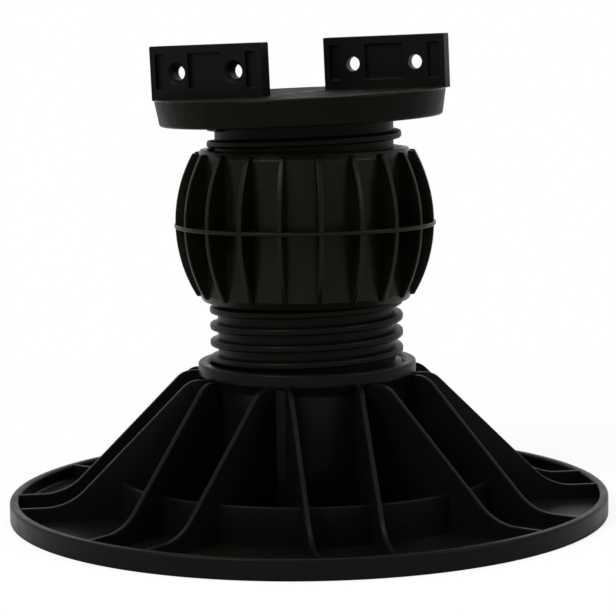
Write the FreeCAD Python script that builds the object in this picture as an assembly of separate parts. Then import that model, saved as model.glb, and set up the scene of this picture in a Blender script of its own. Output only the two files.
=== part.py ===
import FreeCAD
import Part
import math
import os

# Adjustable deck pedestal: a ribbed base, two coarse screws joined by a barrel coupler, and a levelling
# head that carries two joist brackets. Millimetres and degrees, +Z up, origin at the centre of the base's
# underside. One pair of the base's ribs points along -Y. Angles are counted from +X, counter-clockwise
# seen from above.

# Base moulding
BASE_RADIUS = 160.0
BASE_FLOOR = 3.0
RIM_HEIGHT = 10.7
RIM_WALL = 4.7
RIM_FOOT_RADIUS = 0.6
RIM_EDGE_RADIUS = 1.4
FLOOR_FILLET = 1.5
TUBE_WALL = 2.9
TUBE_HEIGHT = 81.6
COLLAR_LIP = 3.3
COLLAR_HEIGHT = 6.5
COLLAR_TAPER = 5.0
COLLAR_NECK_RADIUS = 4.0
COLLAR_FOOT_RADIUS = 2.0
COLLAR_EDGE_RADIUS = 1.2
MOUTH_CHAMFER = 1.6
RIB_PAIRS = 8
RIB_PAIR_SPACING = 36.0
RIB_WALL = 2.6
RIB_SHOULDER_DROP = 6.4
RIB_SHOULDER_LENGTH = 10.2
RIB_CROWN_RADIUS = 12.0
RIB_FOOT_LENGTH = 25.6
RIB_FOOT_RADIUS = 30.0
STIFFENER_RADIUS = 104.0
STIFFENER_HEIGHT = 20.0
STIFFENER_WALL = 2.6
TUBE_BEADS = 2
TUBE_BEAD_WIDTH = 6.2
TUBE_BEAD_DEPTH = 2.2

# Coarse right-hand thread of both screws
THREAD_PITCH = 8.75
THREAD_ROOT_RADIUS = 47.3
THREAD_DEPTH = 4.2
THREAD_CREST_WIDTH = 3.7
THREAD_FLANK = 0.5
THREAD_SUNK = 0.8
THREAD_CLEARANCE = 0.4
SCREW_WALL = 4.3
LOWER_THREAD_START = -28.0
UPPER_THREAD_START = -77.0

# How far the screws show and how far they reach into the base and the coupler
LOWER_EXPOSED = 32.8
LOWER_IN_BASE = 49.6
LOWER_IN_COUPLER = 31.6
UPPER_EXPOSED = 14.6
UPPER_IN_COUPLER = 32.0

# Barrel coupler
COUPLER_HEIGHT = 80.0
COUPLER_WALL = 5.1
COUPLER_END_WALL = 3.1
COUPLER_END_CHAMFER = 4.0
COUPLER_END_RADIUS = 2.0
COUPLER_RIBS = 20
COUPLER_RIB_WALL = 2.6
COUPLER_RIB_FOOT_INSET = 2.6
COUPLER_RIB_FOOT_RISE = 1.2
COUPLER_RIB_TOP_INSET = 1.7
COUPLER_RIB_TOP_RISE = 2.2
COUPLER_RIB_BELLY_RISE = 11.9
COUPLER_BAND_RISE = 12.4
COUPLER_BAND_HEIGHT = 2.1
COUPLER_TURN = -1.4

# Levelling joint inside the head
SEAT_RECESS = 13.0
SEAT_LEDGE = 5.0
SEAT_LEDGE_WIDTH = 9.0
SEAT_FIT = 0.4
SEAT_GAP = 0.2
SEAT_LIP = 3.5
SEAT_LIP_HEIGHT = 2.0
SEAT_WALL = 4.5
PIVOT_DEPTH = 29.2
BEARING_GAP = 0.3
TILT_ROOM = 4.0
WASHER_WALL = 3.0
WASHER_WIDTH = 12.0
NUT_FLANGE_WIDTH = 11.0
NUT_FLANGE = 2.5
NUT_HEIGHT = 6.0
NUT_ACROSS_FLATS = 13.0
SHANK_RADIUS = 4.0
SHANK_FIT = 0.1
SHANK_TAIL = 1.5
CAP_RADIUS = 9.0
CAP_HEIGHT = 2.4
CAP_FIT = 0.3
CROSS_LENGTH = 11.0
CROSS_WIDTH = 2.4
CROSS_DEPTH = 1.4

# Head plate
HEAD_RADIUS = 77.0
HEAD_DEPTH = 14.4
HEAD_DRAFT = 2.4
HEAD_PLATE = 4.5
HEAD_SKIRT = 3.2
HEAD_CROWN = 6.3
HEAD_INNER_FILLET = 1.0
HEAD_EDGE_RADIUS = 1.2
HEAD_FOOT_RADIUS = 2.5
HEAD_WEBS = 8
HEAD_WEB_WALL = 2.4
HEAD_WEB_DEPTH = 2.5
BOSS_MARGIN = 5.0
HEAD_TURN = -34.0
HEAD_LEAN = 2.02
HEAD_LEAN_TOWARDS = 195.0

# Joist brackets
BRACKET_LENGTH = 68.0
BRACKET_HEIGHT = 28.6
BRACKET_THICKNESS = 8.4
BRACKET_CORNER = 0.8
BRACKET_ALONG = 36.4
BRACKET_ACROSS = 31.8
BRACKET_TOE = 3.8
BRACKET_SEAT_DEPTH = 1.0
BRACKET_SEAT_FIT = 0.3
BRACKET_SIDE_FRAME = 3.3
BRACKET_TOP_FRAME = 4.4
BRACKET_FOOT_FRAME = 5.9
POCKET_DEPTH = 2.6
POCKET_CORNER = 0.8
SCREW_HOLE_RADIUS = 3.8
SCREW_HOLE_SPACING = 35.0
SCREW_HOLE_COLUMN = 14.2
COUNTERSINK_RADIUS = 5.8
COUNTERSINK_DEPTH = 2.0
PEG_RADIUS = 2.5
PEG_LENGTH = 2.0
PEG_FIT = 0.2

# Sizes that follow from those above
crest_radius = THREAD_ROOT_RADIUS + THREAD_DEPTH
thread_bore = crest_radius + THREAD_CLEARANCE
screw_bore = THREAD_ROOT_RADIUS - SCREW_WALL
tube_radius = thread_bore + TUBE_WALL
rim_bore = BASE_RADIUS - RIM_WALL
rib_shoulder = TUBE_HEIGHT - RIB_SHOULDER_DROP
coupler_foot = TUBE_HEIGHT + LOWER_EXPOSED
coupler_top = coupler_foot + COUPLER_HEIGHT
coupler_radius = thread_bore + COUPLER_WALL
lower_foot = TUBE_HEIGHT - LOWER_IN_BASE
lower_top = coupler_foot + LOWER_IN_COUPLER
upper_foot = coupler_top - UPPER_IN_COUPLER
upper_top = coupler_top + UPPER_EXPOSED
ledge_top = upper_top - SEAT_RECESS
seat_foot = ledge_top + SEAT_GAP
seat_flange = screw_bore - SEAT_FIT
seat_edge = seat_flange - SEAT_LIP
pivot_height = seat_foot - PIVOT_DEPTH
seat_sphere = math.hypot(seat_edge, PIVOT_DEPTH + SEAT_LIP_HEIGHT)
seat_inner_sphere = seat_sphere - SEAT_WALL
washer_sphere = seat_inner_sphere - BEARING_GAP
washer_inner_sphere = washer_sphere - WASHER_WALL
nut_sphere = washer_inner_sphere - BEARING_GAP
tilt_hole = SHANK_RADIUS + TILT_ROOM
washer_radius = tilt_hole + WASHER_WIDTH
nut_flange_radius = SHANK_RADIUS + NUT_FLANGE_WIDTH
boss_radius = seat_edge - BOSS_MARGIN
head_sphere = seat_sphere + BEARING_GAP
head_top = pivot_height + head_sphere + HEAD_CROWN
head_foot = head_top - HEAD_DEPTH
plate_foot = head_top - HEAD_PLATE
bracket_foot = head_top - BRACKET_SEAT_DEPTH
nut_foot = pivot_height + nut_sphere - NUT_FLANGE - NUT_HEIGHT

AXIS_POINT = FreeCAD.Vector(0, 0, 0)
AXIS_UP = FreeCAD.Vector(0, 0, 1)
PIVOT = FreeCAD.Vector(0, 0, pivot_height)
LEAN_AXIS = FreeCAD.Vector(
    -math.sin(math.radians(HEAD_LEAN_TOWARDS)),
    math.cos(math.radians(HEAD_LEAN_TOWARDS)),
    0,
)
FIRST_PAIR = -90.0
CORNER_SHARE = 0.45


def point(radius, height):
    return FreeCAD.Vector(radius, 0, height)


def outline(corners):
    """Face in the XZ plane through (x, z, radius) corners, each radius limited by the sides beside it."""
    points = [point(x, z) for x, z, radius in corners]
    edges = []
    starts = []
    ends = []
    for i, (x, z, radius) in enumerate(corners):
        here = points[i]
        back = points[i - 1] - here
        ahead = points[(i + 1) % len(points)] - here
        if not radius:
            starts.append(here)
            ends.append(here)
            edges.append(None)
            continue
        half = back.getAngle(ahead) / 2
        room = CORNER_SHARE * min(back.Length, ahead.Length)
        run = min(radius / math.tan(half), room)
        true_radius = run * math.tan(half)
        back.normalize()
        ahead.normalize()
        middle = (back + ahead).normalize()
        start = here + back * run
        end = here + ahead * run
        edges.append(Part.Arc(start, here + middle * (true_radius / math.sin(half) - true_radius), end))
        starts.append(start)
        ends.append(end)
    sides = []
    for i, arc in enumerate(edges):
        if arc:
            sides.append(arc.toShape())
        after = starts[(i + 1) % len(starts)]
        sides.append(Part.LineSegment(ends[i], after).toShape())
    return Part.Face(Part.Wire(sides))


def revolved(face):
    return face.revolve(AXIS_POINT, AXIS_UP, 360)


def turned(shape, angle):
    copy = shape.copy()
    copy.rotate(AXIS_POINT, AXIS_UP, angle)
    return copy


def plate(face, wall):
    """Plate of the given wall, centred on the XZ plane that its face lies in."""
    solid = face.extrude(FreeCAD.Vector(0, wall, 0))
    solid.translate(FreeCAD.Vector(0, -wall / 2, 0))
    return solid


def tube(outer, inner, foot, top):
    corners = [(inner, foot, 0), (outer, foot, 0), (outer, top, 0), (inner, top, 0)]
    return revolved(outline(corners))


def box(x, y, z):
    """Box of three (low, high) spans."""
    solid = Part.makeBox(x[1] - x[0], y[1] - y[0], z[1] - z[0])
    solid.translate(FreeCAD.Vector(x[0], y[0], z[0]))
    return solid


def sphere_height(sphere, radius):
    """Height of a sphere about the levelling pivot, at a distance from the axis."""
    return pivot_height + math.sqrt(sphere ** 2 - radius ** 2)


def sphere_arc(sphere, start, end):
    """Arc of a sphere about the pivot, between two distances from the axis."""
    middle = (start + end) / 2
    places = [point(r, sphere_height(sphere, r)) for r in (start, middle, end)]
    return Part.Arc(*places).toShape()


def path(*points):
    """Straight edges through the points, in order."""
    return [Part.LineSegment(a, b).toShape() for a, b in zip(points, points[1:])]


def leaned(shape):
    """The head as it stands: tipped about the levelling pivot."""
    copy = shape.copy()
    copy.rotate(PIVOT, LEAN_AXIS, HEAD_LEAN)
    return copy


def gusset():
    """One rib of the base, from the tube's wall to the rim, in the plane of the pair's centre line."""
    side = RIB_PAIR_SPACING / 2
    inner = math.sqrt((tube_radius - TUBE_WALL / 2) ** 2 - side ** 2)
    outer = math.sqrt((BASE_RADIUS - RIM_WALL / 2) ** 2 - side ** 2)
    crown = tube_radius + RIB_SHOULDER_LENGTH
    foot = rim_bore - RIB_FOOT_LENGTH
    corners = [
        (inner, BASE_FLOOR / 2, 0),
        (outer, BASE_FLOOR / 2, 0),
        (outer, RIM_HEIGHT, 0),
        (foot, RIM_HEIGHT, RIB_FOOT_RADIUS),
        (crown, rib_shoulder, RIB_CROWN_RADIUS),
        (inner, rib_shoulder, 0),
    ]
    return plate(outline(corners), RIB_WALL)


def base_plate():
    """One moulding: floor, rim, threaded tube with its collar, ribs in pairs and a ring stiffener."""
    collar = tube_radius + COLLAR_LIP
    collar_foot = TUBE_HEIGHT - COLLAR_HEIGHT
    body = revolved(outline([
        (0, 0, 0),
        (BASE_RADIUS, 0, RIM_FOOT_RADIUS),
        (BASE_RADIUS, RIM_HEIGHT, RIM_EDGE_RADIUS),
        (rim_bore, RIM_HEIGHT, RIM_EDGE_RADIUS),
        (rim_bore, BASE_FLOOR, FLOOR_FILLET),
        (tube_radius, BASE_FLOOR, FLOOR_FILLET),
        (tube_radius, collar_foot - COLLAR_TAPER, COLLAR_NECK_RADIUS),
        (collar, collar_foot, COLLAR_FOOT_RADIUS),
        (collar, TUBE_HEIGHT, COLLAR_EDGE_RADIUS),
        (thread_bore + MOUTH_CHAMFER, TUBE_HEIGHT, 0),
        (thread_bore, TUBE_HEIGHT - MOUTH_CHAMFER, 0),
        (thread_bore, BASE_FLOOR, 0),
        (0, BASE_FLOOR, 0),
    ]))
    stiffener = tube(
        STIFFENER_RADIUS,
        STIFFENER_RADIUS - STIFFENER_WALL,
        BASE_FLOOR / 2,
        BASE_FLOOR + STIFFENER_HEIGHT,
    )
    additions = [stiffener]
    pair_step = 360.0 / RIB_PAIRS
    rib = gusset()
    for i in range(RIB_PAIRS):
        for side in (-RIB_PAIR_SPACING / 2, RIB_PAIR_SPACING / 2):
            placed = rib.copy()
            placed.translate(FreeCAD.Vector(0, side, 0))
            additions.append(turned(placed, FIRST_PAIR + i * pair_step))
    bead = box(
        (tube_radius - TUBE_WALL / 2, tube_radius + TUBE_BEAD_DEPTH),
        (-TUBE_BEAD_WIDTH / 2, TUBE_BEAD_WIDTH / 2),
        (BASE_FLOOR / 2, collar_foot),
    )
    for i in range(TUBE_BEADS):
        additions.append(turned(bead, FIRST_PAIR - pair_step / 2 + i * 360.0 / TUBE_BEADS))
    return body.multiFuse(additions)


def thread_ridge(foot, top, start):
    """Helical ridge of the coarse thread between two heights, its foot at the start angle."""
    half_crest = THREAD_CREST_WIDTH / 2
    half_root = half_crest + THREAD_FLANK * (1 + THREAD_SUNK / THREAD_DEPTH)
    sunk = THREAD_ROOT_RADIUS - THREAD_SUNK
    section = Part.makePolygon([
        point(sunk, -half_root),
        point(crest_radius, -half_crest),
        point(crest_radius, half_crest),
        point(sunk, half_root),
        point(sunk, -half_root),
    ])
    rise = top - foot - 2 * half_root
    helix = Part.makeHelix(THREAD_PITCH, rise, THREAD_ROOT_RADIUS)
    sweep = Part.BRepOffsetAPI.MakePipeShell(Part.Wire(helix.Edges))
    sweep.setFrenetMode(True)
    sweep.add(section)
    sweep.build()
    sweep.makeSolid()
    ridge = sweep.shape()
    ridge.translate(FreeCAD.Vector(0, 0, foot + half_root))
    return turned(ridge, start)


def lower_screw():
    """Threaded tube between the base and the coupler."""
    core = tube(THREAD_ROOT_RADIUS, screw_bore, lower_foot, lower_top)
    return core.fuse(thread_ridge(lower_foot, lower_top, LOWER_THREAD_START))


def upper_screw():
    """Threaded stem under the head, with an inner ledge that carries the levelling seat."""
    core = revolved(outline([
        (screw_bore, upper_foot, 0),
        (THREAD_ROOT_RADIUS, upper_foot, 0),
        (THREAD_ROOT_RADIUS, upper_top, 0),
        (screw_bore, upper_top, 0),
        (screw_bore, ledge_top, 0),
        (screw_bore - SEAT_LEDGE_WIDTH, ledge_top, 0),
        (screw_bore - SEAT_LEDGE_WIDTH, ledge_top - SEAT_LEDGE, 0),
        (screw_bore, ledge_top - SEAT_LEDGE, 0),
    ]))
    return core.fuse(thread_ridge(upper_foot, upper_top, UPPER_THREAD_START))


def coupler():
    """Barrel nut: a plain sleeve with bowed grip ribs and a band round its middle."""
    end_radius = thread_bore + COUPLER_END_WALL
    middle = (coupler_foot + coupler_top) / 2
    sleeve = revolved(outline([
        (thread_bore, coupler_foot, 0),
        (end_radius, coupler_foot, 0),
        (coupler_radius, coupler_foot + COUPLER_END_CHAMFER, COUPLER_END_RADIUS),
        (coupler_radius, coupler_top - COUPLER_END_CHAMFER, COUPLER_END_RADIUS),
        (end_radius, coupler_top, 0),
        (thread_bore, coupler_top, 0),
    ]))
    band = tube(
        coupler_radius + COUPLER_BAND_RISE,
        coupler_radius - COUPLER_WALL / 2,
        middle - COUPLER_BAND_HEIGHT / 2,
        middle + COUPLER_BAND_HEIGHT / 2,
    )
    root = coupler_radius - COUPLER_WALL / 2
    rib_foot = point(coupler_radius + COUPLER_RIB_FOOT_RISE, coupler_foot + COUPLER_RIB_FOOT_INSET)
    rib_belly = point(coupler_radius + COUPLER_RIB_BELLY_RISE, middle)
    rib_top = point(coupler_radius + COUPLER_RIB_TOP_RISE, coupler_top - COUPLER_RIB_TOP_INSET)
    bow = Part.Arc(rib_foot, rib_belly, rib_top).toShape()
    straight = path(rib_top, point(root, rib_top.z), point(root, rib_foot.z), rib_foot)
    rib = plate(Part.Face(Part.Wire([bow] + straight)), COUPLER_RIB_WALL)
    step = 360.0 / COUPLER_RIBS
    ribs = [turned(rib, FIRST_PAIR + COUPLER_TURN + i * step) for i in range(COUPLER_RIBS)]
    bore = Part.makeCylinder(thread_bore, COUPLER_HEIGHT, FreeCAD.Vector(0, 0, coupler_foot))
    return sleeve.multiFuse([band] + ribs).cut(bore)


def levelling_seat():
    """Domed ring that stands on the upper screw's ledge: the head rocks on its dome."""
    inner_edge = math.sqrt(seat_inner_sphere ** 2 - PIVOT_DEPTH ** 2)
    lip_top = seat_foot + SEAT_LIP_HEIGHT
    dome = sphere_arc(seat_sphere, tilt_hole, seat_edge)
    rim = path(
        point(seat_edge, lip_top),
        point(seat_flange, lip_top),
        point(seat_flange, seat_foot),
        point(inner_edge, seat_foot),
    )
    vault = sphere_arc(seat_inner_sphere, inner_edge, tilt_hole)
    mouth = path(
        point(tilt_hole, sphere_height(seat_inner_sphere, tilt_hole)),
        point(tilt_hole, sphere_height(seat_sphere, tilt_hole)),
    )
    return revolved(Part.Face(Part.Wire([dome] + rim + [vault] + mouth)))


def spherical_washer():
    """Floating washer under the seat's dome: it lets the retaining screw lean any way."""
    top = sphere_arc(washer_sphere, tilt_hole, washer_radius)
    edge = path(
        point(washer_radius, sphere_height(washer_sphere, washer_radius)),
        point(washer_radius, sphere_height(washer_inner_sphere, washer_radius)),
    )
    under = sphere_arc(washer_inner_sphere, washer_radius, tilt_hole)
    mouth = path(
        point(tilt_hole, sphere_height(washer_inner_sphere, tilt_hole)),
        point(tilt_hole, sphere_height(washer_sphere, tilt_hole)),
    )
    return revolved(Part.Face(Part.Wire([top] + edge + [under] + mouth)))


def retaining_nut():
    """Flanged nut that holds the head down, its flange domed to bear on the washer."""
    bore = SHANK_RADIUS + SHANK_FIT
    flange_foot = sphere_height(nut_sphere, nut_flange_radius) - NUT_FLANGE
    top = sphere_arc(nut_sphere, bore, nut_flange_radius)
    rest = path(
        point(nut_flange_radius, sphere_height(nut_sphere, nut_flange_radius)),
        point(nut_flange_radius, flange_foot),
        point(bore, flange_foot),
        point(bore, sphere_height(nut_sphere, bore)),
    )
    flange = revolved(Part.Face(Part.Wire([top] + rest)))
    corner = NUT_ACROSS_FLATS / math.sqrt(3)
    hexagon = [FreeCAD.Vector(corner, 0, nut_foot)]
    for i in range(6):
        hexagon.append(FreeCAD.Rotation(AXIS_UP, 60).multVec(hexagon[i]))
    prism_height = flange_foot + NUT_FLANGE / 2 - nut_foot
    prism = Part.Face(Part.makePolygon(hexagon)).extrude(FreeCAD.Vector(0, 0, prism_height))
    hole = Part.makeCylinder(bore, head_top - nut_foot, FreeCAD.Vector(0, 0, nut_foot))
    return leaned(flange.fuse(prism).cut(hole))


def retaining_screw():
    """Screw down the middle of the head, with a cross in its flat cap."""
    cap_foot = head_top - CAP_HEIGHT
    cap = Part.makeCylinder(CAP_RADIUS, CAP_HEIGHT, FreeCAD.Vector(0, 0, cap_foot))
    shank_foot = nut_foot - SHANK_TAIL
    shank_length = head_top - CAP_HEIGHT / 2 - shank_foot
    shank = Part.makeCylinder(SHANK_RADIUS, shank_length, FreeCAD.Vector(0, 0, shank_foot))
    slot_span = (head_top - CROSS_DEPTH, head_top + CROSS_DEPTH)
    slot = box((-CROSS_LENGTH / 2, CROSS_LENGTH / 2), (-CROSS_WIDTH / 2, CROSS_WIDTH / 2), slot_span)
    screw = cap.fuse(shank).cut(slot.fuse(turned(slot, 90)))
    return leaned(turned(screw, HEAD_TURN))


def bracket_places():
    """Each bracket's name, centre on the head and turn, in the level head's frame."""
    along = FreeCAD.Vector(BRACKET_ALONG, BRACKET_ACROSS, 0)
    facing = FreeCAD.Rotation(AXIS_UP, HEAD_TURN)
    return [
        ("left", facing.multVec(along * -1), HEAD_TURN - BRACKET_TOE),
        ("right", facing.multVec(along), HEAD_TURN + BRACKET_TOE + 180),
    ]


def placed_on_head(shape, centre, turn):
    """A shape of the bracket's own frame, its foot on the floor of the bracket's seat in the head."""
    copy = turned(shape, turn)
    copy.translate(centre + FreeCAD.Vector(0, 0, bracket_foot))
    return copy


def bracket_seat():
    """What a bracket's foot and pegs take out of the head: a shallow seat and two sockets."""
    half_length = BRACKET_LENGTH / 2 + BRACKET_SEAT_FIT
    half_width = BRACKET_THICKNESS / 2 + BRACKET_SEAT_FIT
    seat = box((-half_length, half_length), (-half_width, half_width), (0, 2 * BRACKET_SEAT_DEPTH))
    socket_depth = PEG_LENGTH + PEG_FIT
    sockets = []
    for side in (-SCREW_HOLE_SPACING / 2, SCREW_HOLE_SPACING / 2):
        foot = FreeCAD.Vector(side, 0, -socket_depth)
        sockets.append(Part.makeCylinder(PEG_RADIUS + PEG_FIT, socket_depth + BRACKET_SEAT_DEPTH, foot))
    return seat.multiFuse(sockets)


def head_plate():
    """Skirted disc with a spherical boss under it, webs, and seats for the brackets' feet."""
    foot_radius = HEAD_RADIUS - HEAD_DRAFT
    shell = revolved(outline([
        (0, plate_foot, 0),
        (HEAD_RADIUS - HEAD_SKIRT, plate_foot, HEAD_INNER_FILLET),
        (foot_radius - HEAD_SKIRT, head_foot, 0),
        (foot_radius, head_foot, HEAD_FOOT_RADIUS),
        (HEAD_RADIUS, head_top, HEAD_EDGE_RADIUS),
        (0, head_top, 0),
    ]))
    boss_foot = sphere_height(head_sphere, boss_radius)
    boss_height = plate_foot + HEAD_PLATE / 2 - boss_foot
    boss = Part.makeCylinder(boss_radius, boss_height, FreeCAD.Vector(0, 0, boss_foot))
    web = box(
        (0, foot_radius - HEAD_SKIRT / 2),
        (-HEAD_WEB_WALL / 2, HEAD_WEB_WALL / 2),
        (plate_foot - HEAD_WEB_DEPTH, plate_foot + HEAD_PLATE / 2),
    )
    webs = [turned(web, HEAD_TURN + i * 360.0 / HEAD_WEBS) for i in range(HEAD_WEBS)]
    hollow = Part.makeSphere(head_sphere, PIVOT)
    shank_hole = Part.makeCylinder(SHANK_RADIUS + CAP_FIT, HEAD_DEPTH, FreeCAD.Vector(0, 0, head_foot))
    cap_foot = FreeCAD.Vector(0, 0, head_top - CAP_HEIGHT)
    cap_recess = Part.makeCylinder(CAP_RADIUS + CAP_FIT, HEAD_DEPTH, cap_foot)
    seat = bracket_seat()
    seats = [placed_on_head(seat, centre, turn) for name, centre, turn in bracket_places()]
    return leaned(shell.multiFuse([boss] + webs).cut([hollow, shank_hole, cap_recess] + seats))


def bracket_pockets():
    """Pockets of one face: a wide one between the hole columns and a narrow one outside each."""
    column = SCREW_HOLE_COLUMN / 2
    inner = SCREW_HOLE_SPACING / 2 - column
    outer = SCREW_HOLE_SPACING / 2 + column
    end = BRACKET_LENGTH / 2 - BRACKET_SIDE_FRAME
    foot = BRACKET_FOOT_FRAME
    top = BRACKET_HEIGHT - BRACKET_TOP_FRAME
    pockets = []
    for low, high in ((-end, -outer), (-inner, inner), (outer, end)):
        corners = [(x, z, POCKET_CORNER) for x, z in ((low, foot), (high, foot), (high, top), (low, top))]
        pockets.append(plate(outline(corners), 2 * POCKET_DEPTH))
    return pockets


def bracket():
    """Joist bracket on its own: foot on z 0, long side along X, its countersunk outer face towards -Y."""
    half = BRACKET_LENGTH / 2
    frame = [(-half, 0), (half, 0), (half, BRACKET_HEIGHT), (-half, BRACKET_HEIGHT)]
    block = plate(outline([(x, z, BRACKET_CORNER) for x, z in frame]), BRACKET_THICKNESS)
    cuts = []
    for face in (-BRACKET_THICKNESS / 2, BRACKET_THICKNESS / 2):
        for pocket in bracket_pockets():
            pocket.translate(FreeCAD.Vector(0, face, 0))
            cuts.append(pocket)
    inward = FreeCAD.Vector(0, 1, 0)
    pegs = []
    for side in (-SCREW_HOLE_SPACING / 2, SCREW_HOLE_SPACING / 2):
        mouth = FreeCAD.Vector(side, -BRACKET_THICKNESS / 2, BRACKET_HEIGHT / 2)
        cuts.append(Part.makeCylinder(SCREW_HOLE_RADIUS, BRACKET_THICKNESS, mouth, inward))
        cuts.append(Part.makeCone(COUNTERSINK_RADIUS, SCREW_HOLE_RADIUS, COUNTERSINK_DEPTH, mouth, inward))
        peg_foot = FreeCAD.Vector(side, 0, -PEG_LENGTH)
        pegs.append(Part.makeCylinder(PEG_RADIUS, PEG_LENGTH + BRACKET_FOOT_FRAME / 2, peg_foot))
    return block.cut(cuts).multiFuse(pegs)


def joist_brackets():
    """Both brackets, pegged to the head on either side of the joist's place."""
    single = bracket()
    return {
        "joist_bracket_" + name: leaned(placed_on_head(single, centre, turn))
        for name, centre, turn in bracket_places()
    }


def main():
    os.makedirs("parts", exist_ok=True)
    pieces = {
        "base_plate": base_plate(),
        "lower_screw": lower_screw(),
        "coupler": coupler(),
        "upper_screw": upper_screw(),
        "levelling_seat": levelling_seat(),
        "spherical_washer": spherical_washer(),
        "head_plate": head_plate(),
        "retaining_screw": retaining_screw(),
        "retaining_nut": retaining_nut(),
    }
    pieces.update(joist_brackets())
    for name, shape in pieces.items():
        clean = shape.removeSplitter()
        print(name, len(clean.Solids), "valid" if clean.isValid() else "not valid", round(clean.Volume))
        clean.exportStep(os.path.join("parts", name + ".step"))


main()
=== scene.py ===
import bmesh
import bpy
import math
from mathutils import Matrix, Vector


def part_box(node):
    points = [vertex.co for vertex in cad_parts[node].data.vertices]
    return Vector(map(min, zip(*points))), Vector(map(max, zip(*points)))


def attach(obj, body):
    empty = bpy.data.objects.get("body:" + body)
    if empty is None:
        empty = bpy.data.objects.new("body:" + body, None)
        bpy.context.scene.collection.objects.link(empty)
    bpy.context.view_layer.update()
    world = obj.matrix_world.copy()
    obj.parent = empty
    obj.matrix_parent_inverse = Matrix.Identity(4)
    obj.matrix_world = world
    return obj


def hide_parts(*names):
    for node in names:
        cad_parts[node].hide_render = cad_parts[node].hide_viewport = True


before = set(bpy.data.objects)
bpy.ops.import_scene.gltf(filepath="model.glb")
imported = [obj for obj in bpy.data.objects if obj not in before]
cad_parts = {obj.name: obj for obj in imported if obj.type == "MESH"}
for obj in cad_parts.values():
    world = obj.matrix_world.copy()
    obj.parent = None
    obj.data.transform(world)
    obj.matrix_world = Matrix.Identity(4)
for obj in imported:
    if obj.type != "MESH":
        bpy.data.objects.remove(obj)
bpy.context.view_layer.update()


# Base shell. The real base is one heavy injection moulding in black polypropylene: a round floor with an
# upstand rim, and a tube in the middle whose collar takes the lower screw. It stands by its own weight.
base_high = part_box("base_plate")[1]
base_radius = base_high.x
tube_height = base_high.z
floor_thickness = 0.0030
rim_height = 0.0107
rim_wall = 0.0047
tube_radius = 0.0548
tube_bore = 0.0519
collar_lip = 0.0033
collar_radius = tube_radius + collar_lip
collar_height = 0.0065
collar_taper = 0.0050
mouth_chamfer = 0.0016
rim_foot_round = 0.0006
rim_edge_round = 0.0014
floor_fillet = 0.0015
collar_neck_round = 0.0040
collar_foot_round = 0.0020
collar_edge_round = 0.0012
lathe_turns = 256
guard = 0.00025
corner_share = 0.45
merge_distance = 1e-7
sliver_length = 1e-8
on_axis = 1e-9
smooth_angle = math.radians(32.0)
skin_tint = (1.0, 1.0, 0.86)
drift_scale = 26.0
skin_scale = 70.0
skin_range = (0.3, 0.7)
gloss_less = 0.05
gloss_more = 0.07
grain_strength = 0.25
wave_size = 0.011


def rounded(corners, arc_steps=5):
    """Closed outline through (x, z, radius) corners, a guard point beside each arc to keep flats flat."""
    places = [Vector((x, z)) for x, z, radius in corners]
    points = []
    for i, (x, z, radius) in enumerate(corners):
        here = places[i]
        if not radius:
            points.append(here)
            continue
        back = places[i - 1] - here
        ahead = places[(i + 1) % len(places)] - here
        half = back.angle(ahead) / 2
        run = min(radius / math.tan(half), corner_share * min(back.length, ahead.length))
        true_radius = run * math.tan(half)
        back.normalize()
        ahead.normalize()
        middle = (back + ahead).normalized()
        centre = here + middle * (true_radius / math.sin(half))
        start = here + back * run - centre
        end = here + ahead * run - centre
        sweep = start.angle_signed(end)
        points.append(here + back * (run + guard))
        for k in range(arc_steps + 1):
            turn = Matrix.Rotation(-sweep * k / arc_steps, 2)
            points.append(centre + turn @ start)
        points.append(here + ahead * (run + guard))
    return points


def finish_mesh(name, builder):
    """Closes a bmesh into a named mesh: doubles merged, faces outwards, smooth except at real edges."""
    bmesh.ops.remove_doubles(builder, verts=builder.verts, dist=merge_distance)
    bmesh.ops.recalc_face_normals(builder, faces=builder.faces)
    mesh = bpy.data.meshes.new(name)
    builder.to_mesh(mesh)
    builder.free()
    mesh.shade_smooth()
    mesh.set_sharp_from_angle(angle=smooth_angle)
    return mesh


def lathe(name, outline):
    """Turns a closed (radius, height) outline about the Z axis."""
    builder = bmesh.new()
    rings = []
    for i in range(lathe_turns):
        angle = 2 * math.pi * i / lathe_turns
        along = math.cos(angle)
        across = math.sin(angle)
        rings.append([builder.verts.new((p.x * along, p.x * across, p.y)) for p in outline])
    count = len(outline)
    for i in range(lathe_turns):
        here = rings[i]
        after = rings[(i + 1) % lathe_turns]
        for k in range(count):
            m = (k + 1) % count
            if outline[k].x > on_axis or outline[m].x > on_axis:
                builder.faces.new((here[k], after[k], after[m], here[m]))
    bmesh.ops.remove_doubles(builder, verts=builder.verts, dist=merge_distance)
    bmesh.ops.dissolve_degenerate(builder, edges=builder.edges, dist=sliver_length)
    return finish_mesh(name, builder)


def place_piece(name, mesh, material):
    """Puts a mesh into the scene as a piece with one finish."""
    piece = bpy.data.objects.new(name, mesh)
    bpy.context.scene.collection.objects.link(piece)
    piece.data.materials.clear()
    piece.data.materials.append(material)
    return piece


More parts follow.
